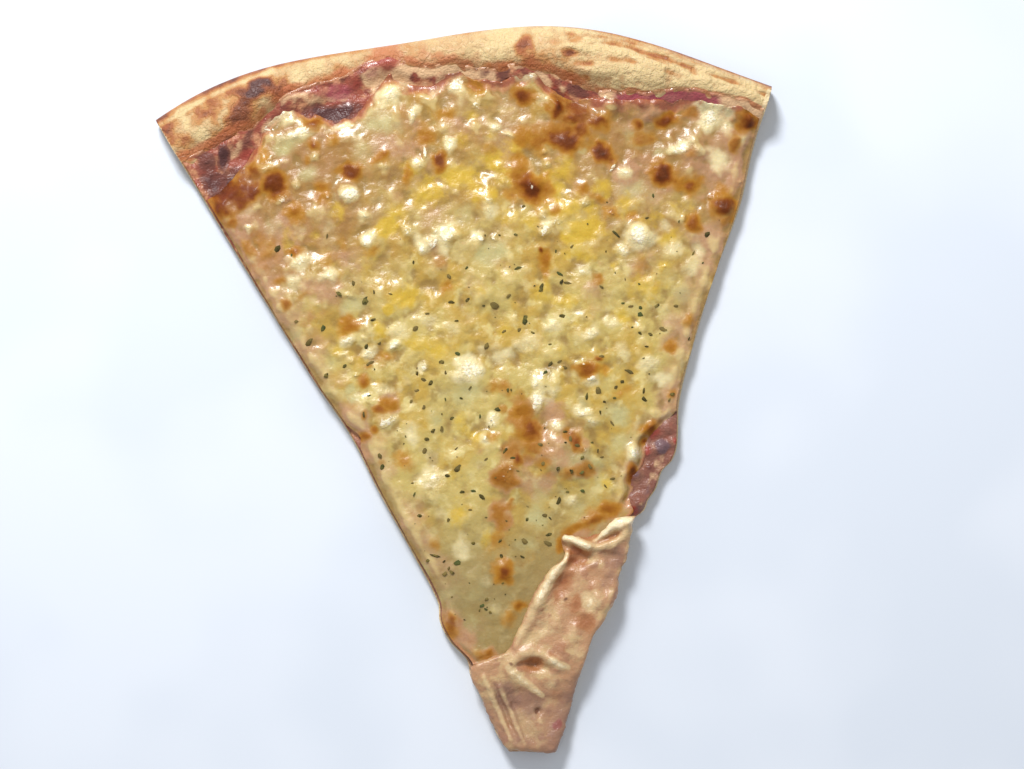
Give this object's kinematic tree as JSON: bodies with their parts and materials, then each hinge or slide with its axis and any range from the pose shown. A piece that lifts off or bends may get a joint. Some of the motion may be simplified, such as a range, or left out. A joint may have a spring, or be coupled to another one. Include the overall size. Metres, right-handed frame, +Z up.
{
  "type": "cheese pizza slice",
  "caption": "Thin-crust cheese pizza slice: a long wedge with a puffed rim, sauce under browned cheese with herb flakes, and its tip folded back over the cheese.",
  "frame": {"origin": "on the table under the middle of the slice's bounding box", "axes": "+Z up, +Y from the folded tip to the rim along the slice's middle line, +X to the right seen from above with the rim away"},
  "size_m": [0.1831, 0.2145, 0.0125],
  "materials": {
    "crust": "baked dough, dry and matt, golden with brown patches",
    "sauce": "baked tomato sauce, dark red, slightly wet",
    "cheese": "melted cheese, pale yellow with brown blisters and an oily gloss"
  },
  "bodies": {
    "root": {"crust": "crust", "sauce": "sauce", "cheese": "cheese"}
  },
  "joints": []
}
